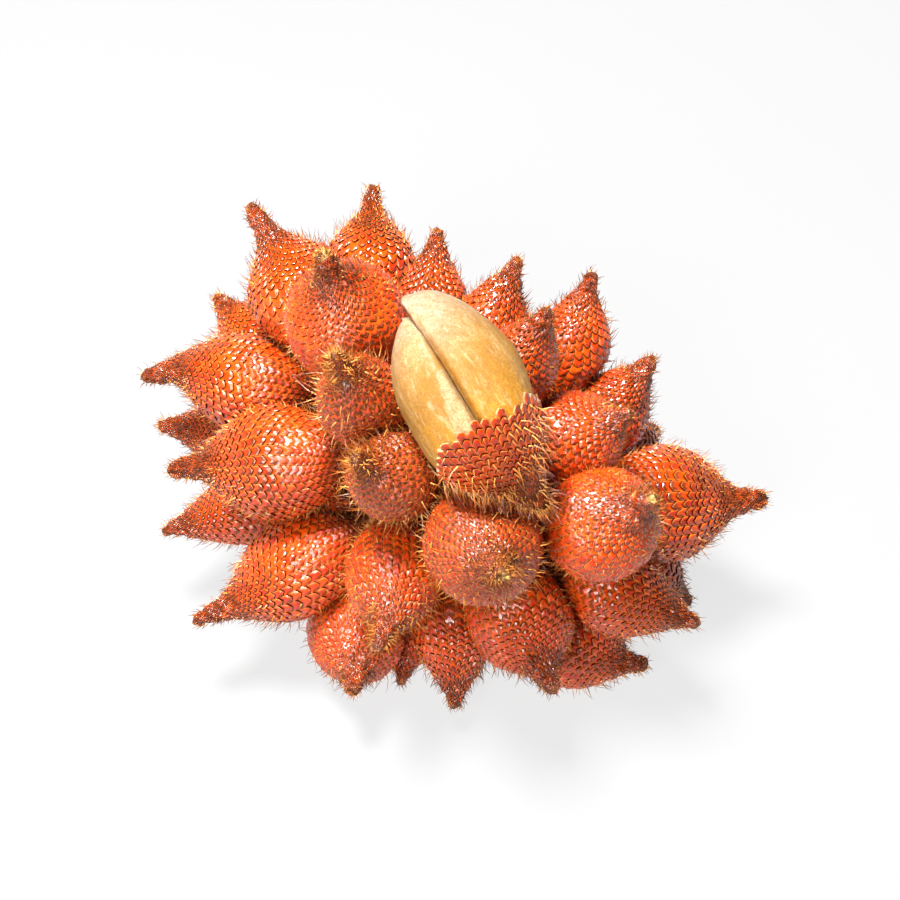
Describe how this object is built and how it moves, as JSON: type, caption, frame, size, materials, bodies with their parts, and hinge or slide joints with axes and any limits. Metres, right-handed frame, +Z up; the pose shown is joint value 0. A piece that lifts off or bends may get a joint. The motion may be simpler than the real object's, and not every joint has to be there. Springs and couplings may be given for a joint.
{
  "type": "snake fruit bunch",
  "caption": "Bunch of salak snake fruit as picked: scaly, spiny red-orange fruits around a woody stalk, with one half-peeled fruit showing its pale flesh.",
  "frame": {"origin": "on the table, under the middle of the bunch's bounding box", "axes": "+Z up; +X to the right across the broad face; the broad face looks towards -Y and up"},
  "size_m": [0.229, 0.1862, 0.1629],
  "materials": {
    "skin": "scaly, glossy red-orange peel with dark scale edges and golden spines",
    "flesh": "smooth, moist cream-yellow fruit flesh",
    "stalk": "rough dark brown fibrous stalk"
  },
  "bodies": {
    "root": {"fruit_01": "skin", "fruit_02": "skin", "fruit_03": "skin", "fruit_04": "skin", "fruit_05": "skin", "fruit_06": "skin", "fruit_07": "skin", "fruit_08": "skin", "fruit_09": "skin", "fruit_10": "skin", "fruit_11": "skin", "fruit_12": "skin", "fruit_13": "skin", "fruit_14": "skin", "fruit_15": "skin", "fruit_16": "skin", "fruit_17": "skin", "fruit_18": "skin", "fruit_19": "skin", "fruit_20": "skin", "fruit_21": "skin", "fruit_22": "skin", "fruit_23": "skin", "fruit_24": "skin", "fruit_25": "skin", "fruit_26": "skin", "fruit_27": "skin", "fruit_28": "skin", "fruit_29": "skin", "fruit_30": "skin", "fruit_31": "skin", "fruit_32": "skin", "fruit_33": "skin", "fruit_34": "skin", "fruit_35": "skin", "fruit_36": "skin", "fruit_37": "skin", "fruit_38": "skin", "fruit_39": "skin", "fruit_40": "skin", "open_skin": "skin", "flesh_right": "flesh", "flesh_left": "flesh", "flesh_rear": "flesh", "stalk": "stalk"}
  },
  "joints": []
}
